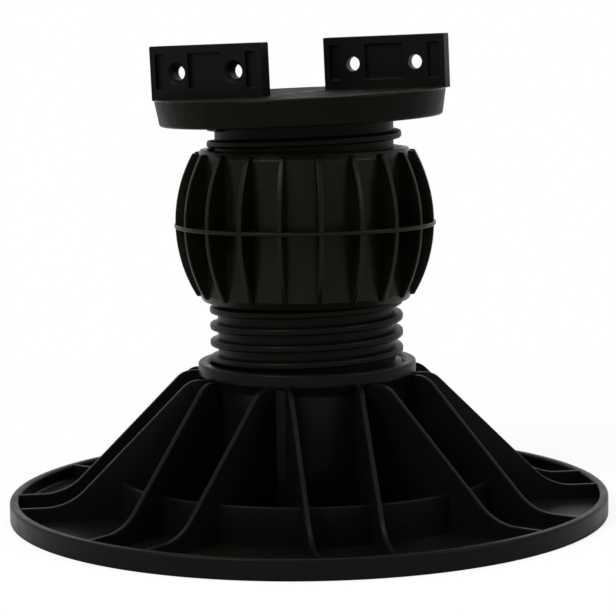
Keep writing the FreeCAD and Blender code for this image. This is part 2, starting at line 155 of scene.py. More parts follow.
def moulded_plastic(name, colour, sheen_colour, grain_size, gloss, grain_depth, reflection, wave_depth):
    """Black moulded plastic: faint colour drift, a satin skin, shallow sinks and the grain of the tool."""
    material = bpy.data.materials.new(name)
    material.use_nodes = True
    nodes = material.node_tree.nodes
    links = material.node_tree.links
    shader = nodes["Principled BSDF"]
    shader.inputs["Specular IOR Level"].default_value = reflection
    shader.inputs["Specular Tint"].default_value = (*skin_tint, 1.0)
    place = nodes.new("ShaderNodeTexCoord")

    drift = nodes.new("ShaderNodeTexNoise")
    drift.inputs["Scale"].default_value = drift_scale
    drift.inputs["Detail"].default_value = 5.0
    links.new(place.outputs["Object"], drift.inputs["Vector"])
    tint = nodes.new("ShaderNodeMix")
    tint.data_type = "RGBA"
    tint.inputs["A"].default_value = (*colour, 1.0)
    tint.inputs["B"].default_value = (*sheen_colour, 1.0)
    links.new(drift.outputs["Fac"], tint.inputs["Factor"])
    links.new(tint.outputs["Result"], shader.inputs["Base Color"])

    skin = nodes.new("ShaderNodeTexNoise")
    skin.inputs["Scale"].default_value = skin_scale
    skin.inputs["Detail"].default_value = 4.0
    links.new(place.outputs["Object"], skin.inputs["Vector"])
    rough = nodes.new("ShaderNodeMapRange")
    rough.inputs["From Min"].default_value = skin_range[0]
    rough.inputs["From Max"].default_value = skin_range[1]
    rough.inputs["To Min"].default_value = gloss - gloss_less
    rough.inputs["To Max"].default_value = gloss + gloss_more
    links.new(skin.outputs["Fac"], rough.inputs["Value"])
    links.new(rough.outputs["Result"], shader.inputs["Roughness"])

    grain = nodes.new("ShaderNodeTexNoise")
    grain.inputs["Scale"].default_value = 1.0 / grain_size
    grain.inputs["Detail"].default_value = 2.0
    links.new(place.outputs["Object"], grain.inputs["Vector"])
    bump = nodes.new("ShaderNodeBump")
    bump.inputs["Strength"].default_value = grain_strength
    bump.inputs["Distance"].default_value = grain_depth
    links.new(grain.outputs["Fac"], bump.inputs["Height"])
    wave = nodes.new("ShaderNodeTexNoise")
    wave.inputs["Scale"].default_value = 1.0 / wave_size
    wave.inputs["Detail"].default_value = 3.0
    links.new(place.outputs["Object"], wave.inputs["Vector"])
    sink = nodes.new("ShaderNodeBump")
    sink.inputs["Strength"].default_value = 1.0
    sink.inputs["Distance"].default_value = wave_depth
    links.new(wave.outputs["Fac"], sink.inputs["Height"])
    links.new(sink.outputs["Normal"], bump.inputs["Normal"])
    links.new(bump.outputs["Normal"], shader.inputs["Normal"])
    return material


base_finish = moulded_plastic(
    "base_plastic",
    colour=(0.0026, 0.0026, 0.0023),
    sheen_colour=(0.0044, 0.0045, 0.0038),
    grain_size=0.0009,
    gloss=0.32,
    grain_depth=0.00005,
    reflection=0.05,
    wave_depth=0.0001,
)
collar_foot = tube_height - collar_height
shell_outline = rounded([
    (0, 0, 0),
    (base_radius, 0, rim_foot_round),
    (base_radius, rim_height, rim_edge_round),
    (base_radius - rim_wall, rim_height, rim_edge_round),
    (base_radius - rim_wall, floor_thickness, floor_fillet),
    (tube_radius, floor_thickness, floor_fillet),
    (tube_radius, collar_foot - collar_taper, collar_neck_round),
    (collar_radius, collar_foot, collar_foot_round),
    (collar_radius, tube_height, collar_edge_round),
    (tube_bore + mouth_chamfer, tube_height, 0),
    (tube_bore, tube_height - mouth_chamfer, 0),
    (tube_bore, floor_thickness, 0),
    (0, floor_thickness, 0),
])
base_shell = place_piece("base_shell", lathe("base_shell", shell_outline), base_finish)
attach(base_shell, "base")
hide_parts("base_plate")


# Base ribs. Sixteen upright ribs of the same moulding brace the tube, in eight parallel pairs. Each runs from
# a rounded shoulder under the collar down a straight slope and sweeps out flat to the rim.
rib_pairs = 8
rib_pair_spacing = 0.0360
rib_wall = 0.0026
rib_shoulder_drop = 0.0064
rib_shoulder_length = 0.0102
rib_foot_length = 0.0256
rib_shoulder = tube_height - rib_shoulder_drop
rib_crown = tube_radius + rib_shoulder_length
rib_foot = base_radius - rim_wall - rib_foot_length
rib_crown_radius = 0.0120
rib_foot_radius = 0.0300
rib_edge = 0.0007
rib_arc_steps = 12
tube_overlap = 0.0015
edge_angle = math.radians(40)
edge_steps = 2
first_pair = math.radians(-90.0)


def upright_plate(builder, outline, wall, offset):
    """Adds a plate of the given wall to a bmesh: the outline stands in XZ, its middle at y = offset."""
    sides = []
    for y in (offset - wall / 2, offset + wall / 2):
        sides.append([builder.verts.new((p.x, y, p.y)) for p in outline])
    near, far = sides
    builder.faces.new(near)
    builder.faces.new(list(reversed(far)))
    for k in range(len(outline)):
        m = (k + 1) % len(outline)
        builder.faces.new((near[m], near[k], far[k], far[m]))


def ring_tree(name):
    """Node tree that repeats the incoming shape evenly round the Z axis."""
    tree = bpy.data.node_groups.new(name, "GeometryNodeTree")
    face = tree.interface
    face.new_socket("Shape", in_out="INPUT", socket_type="NodeSocketGeometry")
    face.new_socket("Count", in_out="INPUT", socket_type="NodeSocketInt")
    face.new_socket("First Angle", in_out="INPUT", socket_type="NodeSocketFloat")
    face.new_socket("Finish", in_out="INPUT", socket_type="NodeSocketMaterial")
    face.new_socket("Ring", in_out="OUTPUT", socket_type="NodeSocketGeometry")
    nodes = tree.nodes
    links = tree.links
    given = nodes.new("NodeGroupInput")
    result = nodes.new("NodeGroupOutput")
    points = nodes.new("GeometryNodePoints")
    links.new(given.outputs["Count"], points.inputs["Count"])
    index = nodes.new("GeometryNodeInputIndex")
    full_turn = nodes.new("ShaderNodeMath")
    full_turn.operation = "DIVIDE"
    full_turn.inputs[0].default_value = 2 * math.pi
    links.new(given.outputs["Count"], full_turn.inputs[1])
    angle = nodes.new("ShaderNodeMath")
    angle.operation = "MULTIPLY_ADD"
    links.new(index.outputs[0], angle.inputs[0])
    links.new(full_turn.outputs[0], angle.inputs[1])
    links.new(given.outputs["First Angle"], angle.inputs[2])
    turn = nodes.new("ShaderNodeCombineXYZ")
    links.new(angle.outputs[0], turn.inputs["Z"])
    copies = nodes.new("GeometryNodeInstanceOnPoints")
    links.new(points.outputs[0], copies.inputs["Points"])
    links.new(given.outputs["Shape"], copies.inputs["Instance"])
    links.new(turn.outputs[0], copies.inputs["Rotation"])
    real = nodes.new("GeometryNodeRealizeInstances")
    links.new(copies.outputs[0], real.inputs[0])
    finish = nodes.new("GeometryNodeSetMaterial")
    links.new(real.outputs[0], finish.inputs["Geometry"])
    links.new(given.outputs["Finish"], finish.inputs["Material"])
    links.new(finish.outputs[0], result.inputs["Ring"])
    return tree


def set_inputs(modifier, values):
    """Sets a node modifier's inputs by the identifiers of their named sockets."""
    for item in modifier.node_group.interface.items_tree:
        if item.item_type == "SOCKET" and item.in_out == "INPUT" and item.name in values:
            modifier[item.identifier] = values[item.name]


def plain_mesh(piece):
    """Swaps a piece's modifiers for the plain mesh that they make."""
    bpy.context.view_layer.update()
    evaluated = piece.evaluated_get(bpy.context.evaluated_depsgraph_get())
    mesh = bpy.data.meshes.new_from_object(evaluated)
    mesh.name = piece.name
    piece.modifiers.clear()
    piece.data = mesh
    return piece


def soften_edges(piece, width):
    """Rounds the real edges of a piece."""
    bevel = piece.modifiers.new("soft_edges", "BEVEL")
    bevel.width = width
    bevel.segments = edge_steps
    bevel.limit_method = "ANGLE"
    bevel.angle_limit = edge_angle
    bevel.harden_normals = True


def ring_of(name, shape, count, first_angle, finish, edge):
    """Piece made of a shape with softened edges, repeated round the axis."""
    piece = place_piece(name, shape, finish)
    soften_edges(piece, edge)
    ring = piece.modifiers.new("ring", "NODES")
    ring.node_group = around_axis
    set_inputs(ring, {"Count": count, "First Angle": first_angle, "Finish": finish})
    return plain_mesh(piece)


around_axis = ring_tree("around_axis")
rib_side = rib_pair_spacing / 2
rib_inner = math.sqrt((tube_radius - tube_overlap) ** 2 - rib_side ** 2)
rib_outer = math.sqrt((base_radius - rim_wall / 2) ** 2 - rib_side ** 2)
rib_outline = rounded([
    (rib_inner, floor_thickness / 2, 0),
    (rib_outer, floor_thickness / 2, 0),
    (rib_outer, rim_height, 0),
    (rib_foot, rim_height, rib_foot_radius),
    (rib_crown, rib_shoulder, rib_crown_radius),
    (rib_inner, rib_shoulder, 0),
], arc_steps=rib_arc_steps)
pair_builder = bmesh.new()
for side in (-rib_side, rib_side):
    upright_plate(pair_builder, rib_outline, rib_wall, side)
pair_mesh = finish_mesh("base_ribs", pair_builder)
base_ribs = ring_of("base_ribs", pair_mesh, rib_pairs, first_pair, base_finish, rib_edge)
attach(base_ribs, "base")


# Ring stiffener and tube beads. A low ring wall ties the ribs together half way out, and a narrow bead runs
# down the tube between two pairs of ribs, where the moulding tool parts. Both belong to the base moulding.
stiffener_radius = 0.1040
stiffener_wall = 0.0026
stiffener_height = 0.0200
stiffener_top = floor_thickness + stiffener_height
bead_count = 2
bead_width = 0.0062
bead_depth = 0.0022
bead_edge = 0.0009

stiffener_outline = rounded([
    (stiffener_radius - stiffener_wall, floor_thickness / 2, 0),
    (stiffener_radius, floor_thickness / 2, 0),
    (stiffener_radius, stiffener_top, rib_edge),
    (stiffener_radius - stiffener_wall, stiffener_top, rib_edge),
])
base_stiffener = place_piece("base_stiffener", lathe("base_stiffener", stiffener_outline), base_finish)
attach(base_stiffener, "base")

bead_outline = rounded([
    (tube_radius - tube_overlap, floor_thickness / 2, 0),
    (tube_radius + bead_depth, floor_thickness / 2, 0),
    (tube_radius + bead_depth, collar_foot, 0),
    (tube_radius - tube_overlap, collar_foot, 0),
])
bead_builder = bmesh.new()
upright_plate(bead_builder, bead_outline, bead_width, 0.0)
bead_mesh = finish_mesh("tube_beads", bead_builder)
bead_angle = first_pair - math.pi / rib_pairs
tube_beads = ring_of("tube_beads", bead_mesh, bead_count, bead_angle, base_finish, bead_edge)
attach(tube_beads, "base")


# Lower screw. A moulded tube with a coarse, nearly square right-hand thread joins the base to the coupler.
# Only the stretch between them shows.
thread_pitch = 0.00875
thread_root = 0.0473
thread_crest = 0.0515
crest_width = 0.0037
thread_flank = 0.0005
thread_sunk = 0.0008
screw_bore = 0.0430
crest_edge = 0.0014
crest_steps = 5
crest_corners = 1.5
crest_corner_reach = 0.6
points_per_turn = 96
screw_bore_edge = 0.0004
screw_root_edge = 0.0008
lower_thread_start = math.radians(-28.0)


def thread_tree(name):
    """Node tree that sweeps the thread's section up a helix about the Z axis."""
    tree = bpy.data.node_groups.new(name, "GeometryNodeTree")
    face = tree.interface
    face.new_socket("Base", in_out="INPUT", socket_type="NodeSocketGeometry")
    lengths = ("Rise", "Turns", "Foot", "Start Angle", "Root", "Crest", "Half Root", "Half Crest", "Edge")
    for label in lengths:
        face.new_socket(label, in_out="INPUT", socket_type="NodeSocketFloat")
    face.new_socket("Points", in_out="INPUT", socket_type="NodeSocketInt")
    face.new_socket("Finish", in_out="INPUT", socket_type="NodeSocketMaterial")
    face.new_socket("Thread", in_out="OUTPUT", socket_type="NodeSocketGeometry")
    nodes = tree.nodes
    links = tree.links
    given = nodes.new("NodeGroupInput")
    result = nodes.new("NodeGroupOutput")

    helix = nodes.new("GeometryNodeCurveSpiral")
    helix.inputs["Reverse"].default_value = True
    links.new(given.outputs["Points"], helix.inputs["Resolution"])
    links.new(given.outputs["Turns"], helix.inputs["Rotations"])
    links.new(given.outputs["Root"], helix.inputs["Start Radius"])
    links.new(given.outputs["Root"], helix.inputs["End Radius"])
    links.new(given.outputs["Rise"], helix.inputs["Height"])
    upright = nodes.new("GeometryNodeSetCurveNormal")
    upright.mode = "Z_UP"
    links.new(helix.outputs[0], upright.inputs["Curve"])

    depth = nodes.new("ShaderNodeMath")
    depth.operation = "SUBTRACT"
    links.new(given.outputs["Crest"], depth.inputs[0])
    links.new(given.outputs["Root"], depth.inputs[1])
    section = nodes.new("GeometryNodeCurvePrimitiveQuadrilateral")
    section.mode = "POINTS"
    corners = (("Half Root", -1), ("Half Crest", -1), ("Half Crest", 1), ("Half Root", 1))
    for number, (across, signed) in enumerate(corners):
        height = nodes.new("ShaderNodeMath")
        height.operation = "MULTIPLY"
        height.inputs[1].default_value = signed
        links.new(given.outputs[across], height.inputs[0])
        corner = nodes.new("ShaderNodeCombineXYZ")
        if across == "Half Crest":
            links.new(depth.outputs[0], corner.inputs["X"])
        else:
            corner.inputs["X"].default_value = -thread_sunk
        links.new(height.outputs[0], corner.inputs["Y"])
        links.new(corner.outputs[0], section.inputs["Point " + str(number + 1)])
    # Corners 1 and 2 of the section lie on the crest, and only they are rounded.
    number = nodes.new("GeometryNodeInputIndex")
    at_crest = nodes.new("ShaderNodeMath")
    at_crest.operation = "COMPARE"
    at_crest.inputs[1].default_value = crest_corners
    at_crest.inputs[2].default_value = crest_corner_reach
    links.new(number.outputs[0], at_crest.inputs[0])
    crest_round = nodes.new("ShaderNodeMath")
    crest_round.operation = "MULTIPLY"
    links.new(at_crest.outputs[0], crest_round.inputs[0])
    links.new(given.outputs["Edge"], crest_round.inputs[1])
    soft = nodes.new("GeometryNodeFilletCurve")
    soft.mode = "POLY"
    soft.inputs["Count"].default_value = crest_steps
    links.new(section.outputs[0], soft.inputs["Curve"])
    links.new(crest_round.outputs[0], soft.inputs["Radius"])

    ridge = nodes.new("GeometryNodeCurveToMesh")
    ridge.inputs["Fill Caps"].default_value = True
    links.new(upright.outputs[0], ridge.inputs["Curve"])
    links.new(soft.outputs[0], ridge.inputs["Profile Curve"])
    lift = nodes.new("ShaderNodeCombineXYZ")
    links.new(given.outputs["Foot"], lift.inputs["Z"])
    turn = nodes.new("ShaderNodeCombineXYZ")
    links.new(given.outputs["Start Angle"], turn.inputs["Z"])
    seat = nodes.new("GeometryNodeTransform")
    links.new(ridge.outputs[0], seat.inputs["Geometry"])
    links.new(lift.outputs[0], seat.inputs["Translation"])
    links.new(turn.outputs[0], seat.inputs["Rotation"])
    both = nodes.new("GeometryNodeJoinGeometry")
    links.new(seat.outputs[0], both.inputs[0])
    links.new(given.outputs["Base"], both.inputs[0])
    real = nodes.new("GeometryNodeRealizeInstances")
    links.new(both.outputs[0], real.inputs[0])
    finish = nodes.new("GeometryNodeSetMaterial")
    links.new(real.outputs[0], finish.inputs["Geometry"])
    links.new(given.outputs["Finish"], finish.inputs["Material"])
    links.new(finish.outputs[0], result.inputs["Thread"])
    return tree


def threaded(name, core_outline, foot, top, start_angle, finish):
    """Screw: a turned core with the coarse thread wound on it."""
    half_root = crest_width / 2 + thread_flank * (1 + thread_sunk / (thread_crest - thread_root))
    rise = top - foot - 2 * half_root
    piece = place_piece(name, lathe(name, core_outline), finish)
    thread = piece.modifiers.new("thread", "NODES")
    thread.node_group = wound_thread
    set_inputs(thread, {
        "Rise": rise,
        "Turns": rise / thread_pitch,
        "Foot": foot + half_root,
        "Start Angle": start_angle,
        "Root": thread_root,
        "Crest": thread_crest,
        "Half Root": half_root,
        "Half Crest": crest_width / 2,
        "Edge": crest_edge,
        "Points": points_per_turn,
        "Finish": finish,
    })
    plain_mesh(piece)
    builder = bmesh.new()
    builder.from_mesh(piece.data)
    piece.data = finish_mesh(name, builder)
    piece.data.materials.append(finish)
    return piece


screw_finish = moulded_plastic(
    "screw_plastic",
    colour=(0.0017, 0.0017, 0.0014),
    sheen_colour=(0.0029, 0.0029, 0.0024),
    grain_size=0.0008,
    gloss=0.34,
    grain_depth=0.00005,
    reflection=0.05,
    wave_depth=0.0001,
)
wound_thread = thread_tree("wound_thread")
lower_low, lower_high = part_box("lower_screw")
lower_outline = rounded([
    (screw_bore, lower_low.z, screw_bore_edge),
    (thread_root, lower_low.z, screw_root_edge),
    (thread_root, lower_high.z, screw_root_edge),
    (screw_bore, lower_high.z, screw_bore_edge),
])
lower_screw_body = threaded(
    "lower_screw_body", lower_outline, lower_low.z, lower_high.z, lower_thread_start, screw_finish)
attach(lower_screw_body, "lower_screw")
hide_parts("lower_screw")


# Coupler. A thick moulded sleeve joins the two screws. Twenty bowed ribs give it a barrel's outline and a
# grip for the hand, and a flat band runs round its middle.
coupler_low, coupler_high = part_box("coupler")
coupler_foot = coupler_low.z
coupler_top = coupler_high.z
coupler_bore = 0.0519
coupler_radius = 0.0570
coupler_end_radius = 0.0550
coupler_chamfer = 0.0040
sleeve_bore_edge = 0.0005
sleeve_end_edge = 0.0008
sleeve_shoulder_round = 0.0020
grip_ribs = 20
grip_rib_wall = 0.0026
grip_foot_inset = 0.0026
grip_foot_rise = 0.0012
grip_top_inset = 0.0017
grip_top_rise = 0.0022
grip_belly_rise = 0.0119
grip_root = 0.0020
grip_turn = math.radians(-1.4)
grip_first = first_pair + grip_turn
grip_edge = 0.0006
grip_arc_points = 48
band_rise = 0.0124
band_radius = coupler_radius + band_rise
band_height = 0.0021
band_edge = 0.0006

coupler_finish = moulded_plastic(
    "coupler_plastic",
    colour=(0.0024, 0.0026, 0.0014),
    sheen_colour=(0.0042, 0.0046, 0.0025),
    grain_size=0.0010,
    gloss=0.27,
    grain_depth=0.00006,
    reflection=0.085,
    wave_depth=0.0003,
)
sleeve_outline = rounded([
    (coupler_bore, coupler_foot, sleeve_bore_edge),
    (coupler_end_radius, coupler_foot, sleeve_end_edge),
    (coupler_radius, coupler_foot + coupler_chamfer, sleeve_shoulder_round),
    (coupler_radius, coupler_top - coupler_chamfer, sleeve_shoulder_round),
    (coupler_end_radius, coupler_top, sleeve_end_edge),
    (coupler_bore, coupler_top, sleeve_bore_edge),
])
coupler_sleeve = place_piece("coupler_sleeve", lathe("coupler_sleeve", sleeve_outline), coupler_finish)
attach(coupler_sleeve, "coupler")
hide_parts("coupler")

middle = (coupler_foot + coupler_top) / 2
band_outline = rounded([
    (coupler_radius - grip_root, middle - band_height / 2, 0),
    (band_radius, middle - band_height / 2, band_edge),
    (band_radius, middle + band_height / 2, band_edge),
    (coupler_radius - grip_root, middle + band_height / 2, 0),
])
coupler_band = place_piece("coupler_band", lathe("coupler_band", band_outline), coupler_finish)
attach(coupler_band, "coupler")


def arc_through(start, between, end, steps):
    """Points of the circular arc from start to end that passes through the point between them."""
    first = between - start
    second = end - start
    scale = 2 * first.cross(second)
    a = first.length_squared
    b = second.length_squared
    centre = start + Vector((second.y * a - first.y * b, first.x * b - second.x * a)) / scale
    sweep = (start - centre).angle_signed(end - centre)
    return [centre + Matrix.Rotation(-sweep * i / steps, 2) @ (start - centre) for i in range(steps + 1)]


grip_foot = Vector((coupler_radius + grip_foot_rise, coupler_foot + grip_foot_inset))
grip_belly = Vector((coupler_radius + grip_belly_rise, middle))
grip_top = Vector((coupler_radius + grip_top_rise, coupler_top - grip_top_inset))
grip_outline = [
    Vector((coupler_radius - grip_root, grip_foot.y)),
    *arc_through(grip_foot, grip_belly, grip_top, grip_arc_points),
    Vector((coupler_radius - grip_root, grip_top.y)),
]
grip_builder = bmesh.new()
upright_plate(grip_builder, grip_outline, grip_rib_wall, 0.0)
grip_mesh = finish_mesh("coupler_ribs", grip_builder)
coupler_ribs = ring_of("coupler_ribs", grip_mesh, grip_ribs, grip_first, coupler_finish, grip_edge)
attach(coupler_ribs, "coupler")


# Upper screw. A shorter screw with the same thread rises out of the coupler into the head. A ledge inside its
# mouth carries the levelling seat, which stays hidden under the head.
upper_low, upper_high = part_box("upper_screw")
ledge_depth = 0.0130
ledge_thickness = 0.0050
ledge_width = 0.0090
ledge_bore = screw_bore - ledge_width
ledge_edge = 0.0006
upper_mouth_edge = 0.0006
upper_thread_start = math.radians(-77.0)
ledge_top = upper_high.z - ledge_depth

upper_outline = rounded([
    (screw_bore, upper_low.z, screw_bore_edge),
    (thread_root, upper_low.z, screw_root_edge),
    (thread_root, upper_high.z, upper_mouth_edge),
    (screw_bore, upper_high.z, upper_mouth_edge),
    (screw_bore, ledge_top, 0),
    (ledge_bore, ledge_top, ledge_edge),
    (ledge_bore, ledge_top - ledge_thickness, ledge_edge),
    (screw_bore, ledge_top - ledge_thickness, 0),
])
upper_screw_body = threaded(
    "upper_screw_body", upper_outline, upper_low.z, upper_high.z, upper_thread_start, screw_finish)
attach(upper_screw_body, "upper_screw")
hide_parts("upper_screw")


# Levelling seat and floating washer. The head rocks on a smooth acetal dome, and a domed washer under it
# follows the retaining screw. Both stay inside the head, so they keep their plain turned shapes.
dome_finish = moulded_plastic(
    "inner_plastic",
    colour=(0.0040, 0.0040, 0.0038),
    sheen_colour=(0.0060, 0.0060, 0.0056),
    grain_size=0.0015,
    gloss=0.32,
    grain_depth=0.00003,
    reflection=0.06,
    wave_depth=0.0,
)
for inner in ("levelling_seat", "spherical_washer"):
    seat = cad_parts[inner]
    seat.data.materials.clear()
    seat.data.materials.append(dome_finish)


# Head plate. A moulded disc with a drafted skirt carries the joist. Under it a boss is hollowed to the seat's
# sphere, with webs out to the skirt. It leans as the photograph shows it, about the centre of the spheres.
seat_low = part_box("levelling_seat")[0]
pivot_depth = 0.0292
pivot = Vector((0.0, 0.0, seat_low.z - pivot_depth))
head_sphere = 0.0503
head_crown = 0.0063
head_top = pivot.z + head_sphere + head_crown
head_radius = 0.0770
head_depth = 0.0144
head_draft = 0.0024
head_plate_wall = 0.0045
head_skirt = 0.0032
boss_radius = 0.0341
shank_hole = 0.0043
cap_recess_radius = 0.0093
cap_recess_depth = 0.0024
head_turn = math.radians(-34.0)
head_lean = math.radians(2.02)
head_lean_towards = math.radians(195.0)
dome_steps = 14
web_count = 8
web_wall = 0.0024
web_depth = 0.0025
bracket_length = 0.0680
bracket_thickness = 0.0084
bracket_along = 0.0364
bracket_across = 0.0318
bracket_toe = math.radians(3.8)
bracket_seat_depth = 0.0010
bracket_seat_fit = 0.0003
boss_fillet = 0.0010
skirt_inner_edge = 0.0006
skirt_foot_round = 0.0025
head_edge_round = 0.0012
cap_mouth_edge = 0.0004
web_overlap = 0.0010
web_edge = 0.0004
top_gloss = 0.58
top_gloss_less = 0.11
top_gloss_more = 0.13
top_patches = 0.013
patch_range = (0.40, 0.62)
upward_range = (0.80, 0.95)


def rectangle(x, z, corner):
    """Outline of a rectangle from two (low, high) spans, its corners rounded."""
    return rounded([(x[0], z[0], corner), (x[1], z[0], corner), (x[1], z[1], corner), (x[0], z[1], corner)])


def cut_away(block, cutter):
    """Cuts a bmesh shape out of a block and keeps the plain result."""
    tool = bpy.data.objects.new("cutter", finish_mesh("cutter", cutter))
    bpy.context.scene.collection.objects.link(tool)
    cut = block.modifiers.new("cut", "BOOLEAN")
    cut.operation = "DIFFERENCE"
    cut.solver = "EXACT"
    cut.object = tool
    plain_mesh(block)
    bpy.data.objects.remove(tool)


def dull_the_top(material, gloss, patches):
    """Makes the upward faces of a plastic matt and patchy, as deck work scuffs them."""
    nodes = material.node_tree.nodes
    links = material.node_tree.links
    shader = nodes["Principled BSDF"]
    satin = shader.inputs["Roughness"].links[0].from_socket
    place = nodes.new("ShaderNodeTexCoord")
    scuffs = nodes.new("ShaderNodeTexNoise")
    scuffs.inputs["Scale"].default_value = 1.0 / patches
    scuffs.inputs["Detail"].default_value = 4.0
    links.new(place.outputs["Object"], scuffs.inputs["Vector"])
    matt = nodes.new("ShaderNodeMapRange")
    matt.inputs["From Min"].default_value = patch_range[0]
    matt.inputs["From Max"].default_value = patch_range[1]
    matt.inputs["To Min"].default_value = gloss - top_gloss_less
    matt.inputs["To Max"].default_value = gloss + top_gloss_more
    links.new(scuffs.outputs["Fac"], matt.inputs["Value"])
    facing = nodes.new("ShaderNodeNewGeometry")
    upward = nodes.new("ShaderNodeSeparateXYZ")
    links.new(facing.outputs["Normal"], upward.inputs["Vector"])
    level = nodes.new("ShaderNodeMapRange")
    level.inputs["From Min"].default_value = upward_range[0]
    level.inputs["From Max"].default_value = upward_range[1]
    links.new(upward.outputs["Z"], level.inputs["Value"])
    either = nodes.new("ShaderNodeMix")
    links.new(level.outputs["Result"], either.inputs["Factor"])
    links.new(satin, either.inputs["A"])
    links.new(matt.outputs["Result"], either.inputs["B"])
    links.new(either.outputs["Result"], shader.inputs["Roughness"])


lean_axis = Vector((-math.sin(head_lean_towards), math.cos(head_lean_towards), 0.0))
lean = Matrix.Translation(pivot) @ Matrix.Rotation(head_lean, 4, lean_axis) @ Matrix.Translation(-pivot)
head_finish = moulded_plastic(
    "head_plastic",
    colour=(0.0015, 0.0016, 0.0009),
    sheen_colour=(0.0026, 0.0028, 0.0016),
    grain_size=0.0009,
    gloss=0.28,
    grain_depth=0.00004,
    reflection=0.040,
    wave_depth=0.0006,
)
dull_the_top(head_finish, top_gloss, top_patches)
head_foot = head_top - head_depth
plate_foot = head_top - head_plate_wall
skirt_foot = head_radius - head_draft
dome = []
for i in range(dome_steps + 1):
    reach = shank_hole + (boss_radius - shank_hole) * i / dome_steps
    dome.append((reach, pivot.z + math.sqrt(head_sphere ** 2 - reach ** 2), 0))
head_outline = rounded([
    *dome,
    (boss_radius, plate_foot, boss_fillet),
    (head_radius - head_skirt, plate_foot, boss_fillet),
    (skirt_foot - head_skirt, head_foot, skirt_inner_edge),
    (skirt_foot, head_foot, skirt_foot_round),
    (head_radius, head_top, head_edge_round),
    (cap_recess_radius, head_top, cap_mouth_edge),
    (cap_recess_radius, head_top - cap_recess_depth, 0),
    (shank_hole, head_top - cap_recess_depth, 0),
])
head_disc = place_piece("head_disc", lathe("head_disc", head_outline), head_finish)
head_facing = Matrix.Rotation(head_turn, 4, "Z")
bracket_turns = (
    ("left", -1, head_turn - bracket_toe),
    ("right", 1, head_turn + bracket_toe + math.pi),
)
bracket_stands = {}
for side, way, turn in bracket_turns:
    centre = head_facing @ (Vector((bracket_along, bracket_across, 0.0)) * way)
    foot = Vector((0.0, 0.0, head_top - bracket_seat_depth))
    bracket_stands[side] = Matrix.Translation(centre + foot) @ Matrix.Rotation(turn, 4, "Z")
    seat_half = bracket_length / 2 + bracket_seat_fit
    seat_width = bracket_thickness + 2 * bracket_seat_fit
    seat_outline = rectangle((-seat_half, seat_half), (0.0, 2 * bracket_seat_depth), 0)
    seat_builder = bmesh.new()
    upright_plate(seat_builder, seat_outline, seat_width, 0.0)
    bmesh.ops.transform(seat_builder, matrix=bracket_stands[side], verts=seat_builder.verts)
    cut_away(head_disc, seat_builder)
head_disc.data.set_sharp_from_angle(angle=smooth_angle)
head_disc.data.transform(lean)
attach(head_disc, "head")
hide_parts("head_plate")

web_outline = rounded([
    (boss_radius - web_overlap, plate_foot - web_depth, 0),
    (skirt_foot - head_skirt / 2, plate_foot - web_depth, 0),
    (skirt_foot - head_skirt / 2, plate_foot + web_overlap, 0),
    (boss_radius - web_overlap, plate_foot + web_overlap, 0),
])
web_builder = bmesh.new()
upright_plate(web_builder, web_outline, web_wall, 0.0)
web_mesh = finish_mesh("head_webs", web_builder)
head_webs = ring_of("head_webs", web_mesh, web_count, head_turn, head_finish, web_edge)
head_webs.data.transform(lean)
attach(head_webs, "head")


# Retaining screw and nut. A blackened steel screw with a cross in its flat cap holds the head down on the
# seat, with a flanged nut below. Only the cap shows, flush with the top of the head.
steel_metal = 0.5
steel_reflection = 0.2
oxide_scale = 400.0
oxide_dark = (0.006, 0.006, 0.0065, 1.0)
oxide_light = (0.013, 0.0125, 0.012, 1.0)
steel_roughness = (0.52, 0.68)


def black_steel(name):
    """Blackened steel: a dark, finely mottled oxide with a soft metal sheen."""
    material = bpy.data.materials.new(name)
    material.use_nodes = True
    nodes = material.node_tree.nodes
    links = material.node_tree.links
    shader = nodes["Principled BSDF"]
    shader.inputs["Metallic"].default_value = steel_metal
    shader.inputs["Specular IOR Level"].default_value = steel_reflection
    place = nodes.new("ShaderNodeTexCoord")
    oxide = nodes.new("ShaderNodeTexNoise")
    oxide.inputs["Scale"].default_value = oxide_scale
    oxide.inputs["Detail"].default_value = 6.0
    links.new(place.outputs["Object"], oxide.inputs["Vector"])
    tint = nodes.new("ShaderNodeMix")
    tint.data_type = "RGBA"
    tint.inputs["A"].default_value = oxide_dark
    tint.inputs["B"].default_value = oxide_light
    links.new(oxide.outputs["Fac"], tint.inputs["Factor"])
    links.new(tint.outputs["Result"], shader.inputs["Base Color"])
    rough = nodes.new("ShaderNodeMapRange")
    rough.inputs["To Min"].default_value = steel_roughness[0]
    rough.inputs["To Max"].default_value = steel_roughness[1]
    links.new(oxide.outputs["Fac"], rough.inputs["Value"])
    links.new(rough.outputs["Result"], shader.inputs["Roughness"])
    return material


steel_finish = black_steel("black_steel")
for fastener in ("retaining_screw", "retaining_nut"):
    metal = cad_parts[fastener]
    metal.data.materials.clear()
    metal.data.materials.append(steel_finish)


# Joist brackets. Two moulded blocks stand on the head either side of the joist, sunk a little into seats cut
# in its top. Pockets on both faces lighten them, and each has two screw holes, countersunk on its outer face.
bracket_height = 0.0286
bracket_side_frame = 0.0033
bracket_top_frame = 0.0044
bracket_foot_frame = 0.0059
pocket_depth = 0.0026
pocket_corner = 0.0008
hole_radius = 0.0038
hole_spacing = 0.0350
hole_column = 0.0142
countersink_radius = 0.0058
countersink_depth = 0.0020
hole_sides = 48
block_corner = 0.0008
bracket_edge = 0.0004
cutter_past = 0.0020


def add_prism(builder, outline, near, far):
    """Adds a prism to a bmesh, its outline in XZ, between two places along Y."""
    upright_plate(builder, outline, far - near, (near + far) / 2)


